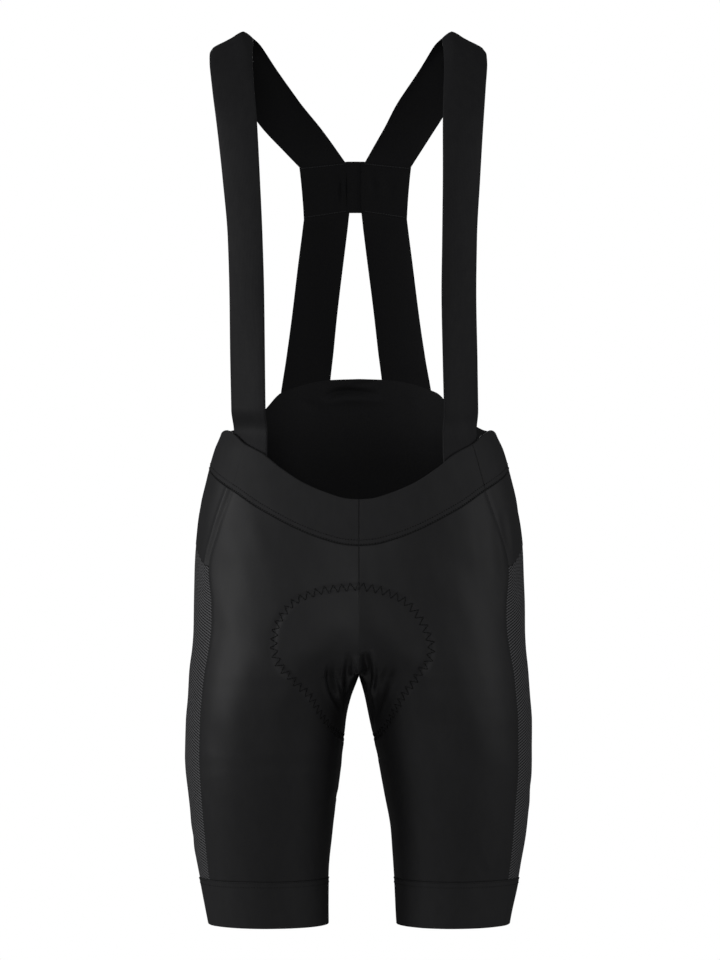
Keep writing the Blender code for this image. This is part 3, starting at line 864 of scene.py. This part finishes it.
def add(tree, kind, inputs, **settings):
    """Adds a node. Each of its named or numbered inputs takes a value or another node's output."""
    node = tree.nodes.new("ShaderNode" + kind)
    for name, value in settings.items():
        setattr(node, name, value)
    for socket, value in inputs.items():
        if isinstance(value, bpy.types.NodeSocket):
            tree.links.new(value, node.inputs[socket])
        else:
            node.inputs[socket].default_value = value
    return node


def finish(name):
    """A new material's tree, with its shader."""
    material = bpy.data.materials.new(name)
    material.use_nodes = True
    return material, material.node_tree, material.node_tree.nodes["Principled BSDF"]


def grain_of(tree):
    """The cloth's own grain in metres, across and along."""
    woven = add(tree, "UVMap", {}, uv_map="Weave")
    return add(tree, "SeparateXYZ", {0: woven.outputs[0]}).outputs


def ridges(tree, along, pitch, share=0.0, across=None):
    """A row of soft ridges, a pitch apart along one way of the grain, from 0 to 1. share of
    the other way leans them."""
    way = along
    if across is not None:
        leaned = add(tree, "Math", {0: across, 1: share, 2: along}, operation="MULTIPLY_ADD")
        way = leaned.outputs[0]
    turned = add(tree, "Math", {0: way, 1: math.tau / (pitch * MM)}, operation="MULTIPLY")
    wave = add(tree, "Math", {0: turned.outputs[0]}, operation="SINE")
    return add(tree, "Math", {0: wave.outputs[0], 1: 0.5, 2: 0.5}, operation="MULTIPLY_ADD").outputs[0]


def blotches(tree, size, detail, stretch=(1, 1, 1)):
    """Noise with patches of a size, on the object's own coordinates."""
    place = add(tree, "TexCoord", {})
    mapped = add(tree, "Mapping", {"Vector": place.outputs["Object"], "Scale": stretch})
    return add(tree, "TexNoise", {"Vector": mapped.outputs[0], "Scale": 1 / (size * MM),
                                  "Detail": detail, "Roughness": 0.55}).outputs[0]


def tinted(tree, shader, share, low, high):
    """The shader's base colour, from low to high with a share."""
    tint = add(tree, "Mix", {0: share, 6: colour(low), 7: colour(high)}, data_type="RGBA")
    tree.links.new(tint.outputs[2], shader.inputs["Base Color"])


def raised(tree, shader, height, depth):
    """Bump on a shader: height from 0 to 1, depth in millimetres."""
    bump = add(tree, "Bump", {"Height": height, "Distance": depth * MM, "Strength": 1.0})
    tree.links.new(bump.outputs[0], shader.inputs["Normal"])


def dulled(shader, roughness, specular, sheen=0.0):
    """Sets the constants of a cloth's shader."""
    shader.inputs["Roughness"].default_value = roughness
    shader.inputs["Specular IOR Level"].default_value = specular
    shader.inputs["Sheen Weight"].default_value = sheen
    shader.inputs["Sheen Roughness"].default_value = 0.5


WALE = 1.3  # the knit's columns are 0.5 mm apart, too fine to show, so they are drawn coarser
COURSE = 1.1


def warp_knit(name, low, high, roughness, specular):
    """Nylon and elastane warp knit: a smooth satin face, fine columns, a slightly cloudy dye."""
    material, tree, shader = finish(name)
    grain = grain_of(tree)
    columns = ridges(tree, grain[0], WALE)
    rows = ridges(tree, grain[1], COURSE)
    loops = add(tree, "Mix", {0: 0.35, 2: columns, 3: rows}).outputs[0]
    cloudy = blotches(tree, 9, 3, (1, 1, 0.5))
    tinted(tree, shader, cloudy, low, high)
    fuzz = blotches(tree, 2.2, 2)
    raised(tree, shader, add(tree, "Mix", {0: 0.5, 2: loops, 3: fuzz}).outputs[0], 0.06)
    dulled(shader, roughness, specular)
    return material


def elastic_weave():
    """Woven elastic: firm cross ribs over fine lengthwise cords, dull, with a soft nap."""
    material, tree, shader = finish("black woven elastic")
    grain = grain_of(tree)
    cords = ridges(tree, grain[0], 1.6)
    picks = ridges(tree, grain[1], 1.2)
    tinted(tree, shader, blotches(tree, 6, 3, (1, 1, 0.4)), "#18181a", "#202021")
    raised(tree, shader, add(tree, "Mix", {0: 0.4, 2: cords, 3: picks}).outputs[0], 0.10)
    dulled(shader, 0.62, 0.1)
    return material


NET_PITCH = 2.9  # height between rows of holes
NET_LEAN = 0.36  # how steeply the rows fall away from the front seam


def open_net():
    """Polyester net: rounded yarns in slanting rows, with pale grey painted along them, partly the
    yarn's own grey and partly painted sheen, and near-black painted at the holes between them.
    """
    material, tree, shader = finish("polyester net with painted grey sheen")
    grain = grain_of(tree)
    rows = ridges(tree, grain[1], NET_PITCH, -NET_LEAN, grain[0])
    crossing = ridges(tree, grain[1], NET_PITCH, NET_LEAN, grain[0])
    yarn = add(tree, "Mix", {0: 0.28, 2: rows, 3: crossing}).outputs[0]
    edge = add(tree, "MapRange", {"Value": yarn, "From Min": 0.38, "From Max": 0.62})
    # Pale grey on the yarns is partly their own colour and partly painted sheen; near-black is painted
    # at the holes
    tinted(tree, shader, edge.outputs[0], "#0a0a0b", "#4e4e50")
    raised(tree, shader, yarn, 0.5)
    dulled(shader, 0.6, 0.2)
    return material


def plain_finish(name, low, high, size, detail, bump, roughness, specular, sheen=0.0):
    """A finish with a nap of one size, for what shows no weave of its own."""
    material, tree, shader = finish(name)
    nap = blotches(tree, size, detail)
    tinted(tree, shader, nap, low, high)
    if bump:
        raised(tree, shader, nap, bump)
    dulled(shader, roughness, specular, sheen)
    return material


# Seams: soft bands where the allowances lie under the cloth, and the rows of stitches

HIP_SEAM_BANDS = {  # the right seam is rolled over, with a ridge outside it; the left lies flat
    -1: (("start", 0.0, 0.6, 3.0), ("start", 7.0, -1.0, 2.8)),
    1: (("start", 0.0, 0.5, 2.6),),
}
LEG_SEAM_BAND = (("end", 0.0, 0.6, 3.0),)
WAIST_BAND_ROWS = (("bottom", 1.1, 0.25, 0.9), ("bottom", 5.5, 0.25, 0.9))
THREAD_RADIUS = 0.4
PAD_THREAD_RADIUS = 0.42
PAD_ZIGZAG_STEP, PAD_ZIGZAG_WIDTH = 4.2, 8.0
FLATLOCK_STEP = 2.8  # coarser than life, so that the stitches show apart
FLATLOCK_ROWS = (1.1, 5.5)  # distances from the seam
FLATLOCK_RADIUS = 0.55
FLATLOCK_GAP, STITCH_GAP = 0.31, 0.08  # share of a stitch left bare at each end
CROSSPIECE_STITCHES = (0.04, 0.96)  # shares of its height
BAND_MARGIN, BAND_SAMPLES, BAND_STITCH = 0.03, 60, 2.6  # share left bare, points, stitch length
STITCH_SIDES, STITCH_CUTS = 5, 2
STITCH_RISE, STITCH_SUNK = 0.35, 0.15
WAIST_SAMPLES, HEM_SAMPLES, PAD_SAMPLES = 400, 300, 200  # points along a seam on each side
MIDDLE_GAP = 0.0005  # share of the ring left bare on either side of the middle
STITCHED_WALL = 1.55  # the bands' walls where their stitches pull them in


def stitch_mesh(radius):
    """One stitch, a unit long along +X: a thread that bows up and dives in at its ends."""
    bm = bmesh.new()
    bmesh.ops.create_cone(bm, cap_ends=True, segments=STITCH_SIDES, radius1=radius,
                          radius2=radius, depth=1)
    bmesh.ops.rotate(bm, cent=(0, 0, 0), matrix=Matrix.Rotation(math.pi / 2, 3, "Y"), verts=bm.verts)
    bmesh.ops.translate(bm, vec=(0.5, 0, 0), verts=bm.verts)
    lengthwise = [edge for edge in bm.edges
                  if abs(edge.verts[0].co.x - edge.verts[1].co.x) > 0.5]
    bmesh.ops.subdivide_edges(bm, edges=lengthwise, cuts=STITCH_CUTS, use_grid_fill=True)
    for vert in bm.verts:
        vert.co.z += STITCH_RISE * math.sin(math.pi * min(max(vert.co.x, 0), 1)) - STITCH_SUNK
    bmesh.ops.recalc_face_normals(bm, faces=bm.faces)
    mesh = bpy.data.meshes.new("stitch")
    bm.to_mesh(mesh)
    bm.free()
    return mesh


def stepped(line, step):
    """Points a step apart along a line given as points and directions out of the cloth."""
    points, out = line
    way = np.concatenate([[0], np.cumsum(length_of(np.diff(points, axis=0)))])
    at = np.linspace(0, way[-1], max(round(way[-1] / step), 1) + 1)
    spots = np.stack([np.interp(at, way, points[:, n]) for n in range(3)], axis=-1)
    ways_out = np.stack([np.interp(at, way, out[:, n]) for n in range(3)], axis=-1)
    return spots, unit(ways_out)


def straight_row(line, step, gap=STITCH_GAP):
    """Stitches end to end along a line, with a needle hole between them."""
    spots, out = stepped(line, step)
    span = np.diff(spots, axis=0)
    return spots[:-1] + span * gap, spots[1:] - span * gap, out[:-1]


def zigzag_row(line, step, width, threads=1):
    """Stitches to and fro across a line, each leg of one or more threads."""
    spots, out = stepped(line, step)
    aside = unit(np.cross(out, np.gradient(spots, axis=0)))
    turn = np.where(np.arange(len(spots)) % 2, 0.5, -0.5)[:, None]
    corners = spots + aside * turn * width
    start, span = corners[:-1], np.diff(corners, axis=0) / threads
    starts = np.concatenate([start + span * n for n in range(threads)])
    return starts, starts + np.tile(span, (threads, 1)), np.tile(out[:-1], (threads, 1))


def laid(rows, wall):
    """Rows on the form, moved out to the outside of the cloth that lies on it."""
    return [[points + outs * (relief(points) + wall)[:, None] for points in (starts, ends)] + [outs]
            for starts, ends, outs in rows]


def stitched(name, rows, radius, finish_of_thread):
    """One mesh of every stitch in some rows."""
    base = stitch_mesh(radius)
    bm = bmesh.new()
    for starts, ends, outs in rows:
        for start, end, out in zip(starts, ends, outs):
            ahead = Vector(end - start)
            across = Vector(out).cross(ahead).normalized()
            up = ahead.cross(across).normalized()
            frame_of = Matrix((ahead, across, up)).transposed().to_4x4()
            placed = Matrix.Scale(MM, 4) @ Matrix.Translation(start) @ frame_of
            stitch = base.copy()
            stitch.transform(placed)
            bm.from_mesh(stitch)
            bpy.data.meshes.remove(stitch)
    mesh = bpy.data.meshes.new(name)
    bm.to_mesh(mesh)
    bm.free()
    mesh.shade_smooth()
    mesh.materials.append(finish_of_thread)
    bpy.data.meshes.remove(base)
    return mesh


def seam_line(side, place, z):
    return on_form(side, place, z), off_form(side, place, z)


def flatlock(line_at):
    """The two rows of short needle stitches of a flatlock seam. line_at gives a line for a
    distance above the seam."""
    return [straight_row(line_at(off), FLATLOCK_STEP, FLATLOCK_GAP) for off in FLATLOCK_ROWS]


def waist_line(side, off):
    place = np.linspace(FRONT_MIDDLE + MIDDLE_GAP, BACK_MIDDLE - MIDDLE_GAP, WAIST_SAMPLES)
    return seam_line(side, place, waist_seam(place) + off)


def hem_line(side, off):
    place = np.linspace(0, 1, HEM_SAMPLES)
    return seam_line(side, place, np.full(HEM_SAMPLES, HEM_TOP - off))


def pad_line(side):
    return seam_line(side, *pad_outline(side, PAD_SAMPLES))


def band_rows(surface, up, wall):
    """A row of stitches across a strap on each of its faces."""
    across = np.linspace(BAND_MARGIN, 1 - BAND_MARGIN, BAND_SAMPLES)
    points, out = surface(across[None], np.full((1, BAND_SAMPLES), up))
    points, out = points[0], out[0]
    return [straight_row((points + out * wall, out), BAND_STITCH),
            straight_row((points, -out), BAND_STITCH)]


# The pieces

# Faces that lie on the skin: brushed, dull and very dark, the elastic's darkest. Their darkness is
# painted shade: darker copies of the knits and elastic, for the shade inside the garment
inside = plain_finish("shaded brushed black knit back", "#161617", "#1f1f20", 1.6, 4, 0.12, 0.9, 0.08)
shaded_strap_back = plain_finish("shaded brushed black elastic back", "#0f0f10", "#171718", 1.6, 4, 0.12, 0.9, 0.08)
# The three knits: the shorts' with a satin glow, the bands' matte, the bib's the dullest
shorts = warp_knit("black satin warp knit", "#222223", "#272728", 0.5, 0.1)
band = warp_knit("black matte band knit", "#232324", "#29292a", 0.65, 0.09)
bib = warp_knit("black bib knit", "#1d1d1e", "#242425", 0.7, 0.1)
# The net in fine rows, pale grey along its yarns (partly their own grey, partly painted sheen) and
# near-black at its holes, and the straps' flat ribbed elastic
net = open_net()
strap = elastic_weave()
# The pad's cover over its foam: charcoal, with a fine even nap
cover = plain_finish("charcoal brushed microfibre", "#161617", "#222224", 1.8, 4, 0.15, 0.85, 0.1, 0.08)
# Spun thread: dark, slightly glossy, uneven where it twists, and paler on the straps. The black thread
# is painted darker than the cloth, partly its own black and partly painted shade where its stitches
# sink in
thread = plain_finish("shade-darkened black polyester thread", "#080808", "#101011", 1.0, 1, 0, 0.55, 0.15)
strap_thread = plain_finish("charcoal polyester thread", "#1c1c1d", "#2c2c2e", 1.0, 1, 0, 0.55, 0.15)


def make_cloth(node, surface, square, wall, slot, faces, grid=None, **shaping):
    across, up = grid or sheet_grid(surface, square)
    mesh = cloth_mesh(node + "_cloth", across, up, surface, wall, faces, **shaping)
    made = piece(node + "_cloth", mesh, slot, node)


def leg_grid(side, surface, square):
    across, _ = sheet_grid(surface, square)
    return across, grid_lines(levels[side][2] / CORNER_SHARE, square)


for side, tag in SIDES:
    front = between(side, lambda z: half_start(side, z), front_seam, leg_height(side))
    make_cloth("front_panel" + tag, front, FINE, SHORTS_WALL, "shorts_knit", (shorts, inside),
               leg_grid(side, front, FINE), keep_side=side, grain="end",
               dents=LEG_SEAM_BAND, flush=("end",))
    back = between(side, level_line(BACK_SEAM), lambda z: half_end(side, z), leg_height(side))
    make_cloth("back_panel" + tag, back, MEDIUM, SHORTS_WALL, "shorts_knit", (shorts, inside),
               leg_grid(side, back, MEDIUM), keep_side=side)
    make_cloth("net_panel" + tag, between(side, front_seam, level_line(BACK_SEAM), net_height),
               MEDIUM, NET_WALL, "side_net", (net, inside))
    hip = between(side, front_seam, level_line(BACK_SEAM), in_band(net_top, waist_seam))
    make_cloth("hip_panel" + tag, hip, FINE, SHORTS_WALL, "shorts_knit", (shorts, inside),
               dents=HIP_SEAM_BANDS[side], flush=("start",))
    belly = between(side, level_line(FRONT_MIDDLE), front_seam, in_band(waist_seam, waist_top))
    make_cloth("waistband_front" + tag, belly, FINE, BAND_WALL, "band_knit", (band, inside),
               keep_side=side, dents=WAIST_BAND_ROWS, flush=() if side > 0 else ("end",))
    flank = between(side, front_seam, level_line(BACK_SEAM), in_band(waist_seam, waist_top))
    make_cloth("waistband_side" + tag, flank, FINE, BAND_WALL, "band_knit", (band, inside),
               dents=WAIST_BAND_ROWS, flush=() if side > 0 else ("start",))
    make_cloth("hem_band" + tag, hem_surface(side), MEDIUM, BAND_WALL, "band_knit",
               (band, inside))
    for node, rows, bow, shape in (("shoulder_strap", SHOULDER_STRAP, 1.2, tucked(side)),
                                   ("crosspiece", CROSSPIECE, 0.0, folded),
                                   ("back_strap", BACK_STRAP, 2.0, seated(side))):
        make_cloth(node + tag, ribbon(side, rows, bow, shape), MEDIUM, STRAP_WALL,
                   "strap_elastic", (strap, shaded_strap_back))
make_cloth("back_bib", bib_surface, FINE, SHORTS_WALL, "bib_knit", (bib, inside))
make_cloth("crosspiece_join", join_surface, FINE, STRAP_WALL, "strap_elastic", (strap, shaded_strap_back))
pad = piece("seat_pad_foam", pad_mesh("seat_pad_foam", grid_lines(PAD_WIDE, MEDIUM),
                                      grid_lines(PAD_LONG, MEDIUM), (cover, cover)),
            "pad_foam", "seat_pad")

pad_rows = [zigzag_row(pad_line(side), PAD_ZIGZAG_STEP, PAD_ZIGZAG_WIDTH, 2) for side, _ in SIDES]
waist_rows = [row for side, _ in SIDES for row in flatlock(lambda off: waist_line(side, off))]
hem_rows = [row for side, _ in SIDES for row in flatlock(lambda off: hem_line(side, off))]
strap_rows = [row for side, _ in SIDES for up in CROSSPIECE_STITCHES
              for row in band_rows(ribbon(side, CROSSPIECE, 0.0), up, STRAP_WALL)]
for name, rows, radius, finish_of_thread, slot in (
        ("pad_zigzag", laid(pad_rows, SHORTS_WALL), PAD_THREAD_RADIUS, thread, "pad_foam"),
        ("waist_flatlock", laid(waist_rows, STITCHED_WALL), FLATLOCK_RADIUS, thread, "band_knit"),
        ("hem_flatlock", laid(hem_rows, STITCHED_WALL), FLATLOCK_RADIUS, thread, "band_knit"),
        ("crosspiece_stitches", strap_rows, THREAD_RADIUS, strap_thread, "strap_elastic")):
    piece(name, stitched(name, rows, radius, finish_of_thread), slot)

# Camera, light and floor

low, high = (np.array(corner) for corner in cad_box)
middle = (low + high) / 2
camera_data = bpy.data.cameras.new("camera")
camera_data.lens = LENS_MM
camera_data.sensor_width = SENSOR_MM
camera = bpy.data.objects.new("camera", camera_data)
camera.location = (EYE_ASIDE, -EYE_DISTANCE, middle[2] - EYE_BELOW_MIDDLE)
camera.rotation_euler = (math.pi / 2, 0, 0)
bpy.context.scene.collection.objects.link(camera)
bpy.context.scene.camera = camera
bpy.context.scene.view_settings.view_transform = "Standard"  # colours as they are

world = bpy.data.worlds.new("white studio")
bpy.context.scene.world = world
world.use_nodes = True
sky = world.node_tree.nodes["Background"]
sky.inputs["Color"].default_value = (1, 1, 1, 1)
# The backdrop is white, and lights the cloth far less than it shows.
seen = add(world.node_tree, "LightPath", {}).outputs["Is Camera Ray"]
strength = add(world.node_tree, "MapRange", {"Value": seen, "To Min": SKY_LIGHT, "To Max": 1.0})
world.node_tree.links.new(strength.outputs[0], sky.inputs["Strength"])

LIGHT_COLUMNS = ("name", "place", "size", "power")
LIGHTS = (
    ("key", (-3.33, -0.5, 0.1), 1.3, 62),
    ("front", (-0.2, -3.4, 0.2), 1.2, 35),
    ("fill", (2.95, -0.75, 0.0), 1.5, 27),
    ("back", (0, 3.4, 0.4), 1.5, 26),
    ("top", (0, -0.5, 1.5), 1.0, 4),
)
for row in LIGHTS:
    light = dict(zip(LIGHT_COLUMNS, row))
    data = bpy.data.lights.new(light["name"], "AREA")
    data.shape = "DISK"
    data.size = light["size"]
    data.energy = light["power"]
    lamp = bpy.data.objects.new(light["name"], data)
    lamp.location = light["place"]
    towards = Vector((0, 0, middle[2])) - Vector(light["place"])
    lamp.rotation_euler = towards.to_track_quat("-Z", "Y").to_euler()
    bpy.context.scene.collection.objects.link(lamp)

bm = bmesh.new()
bmesh.ops.create_circle(bm, cap_ends=True, segments=FLOOR_SIDES, radius=FLOOR_RADIUS)
bmesh.ops.translate(bm, vec=(0, 0, -FLOOR_DEPTH), verts=bm.verts)
floor_mesh = bpy.data.meshes.new("floor")
bm.to_mesh(floor_mesh)
bm.free()
# Matte paper: pale grey and even, with no shine
paper = plain_finish("matte pale grey paper", "#c2c2c2", "#c8c8c8", 300, 2, 0, 0.9, 0.1)
floor_mesh.materials.append(paper)
floor = bpy.data.objects.new("floor", floor_mesh)
bpy.context.scene.collection.objects.link(floor)
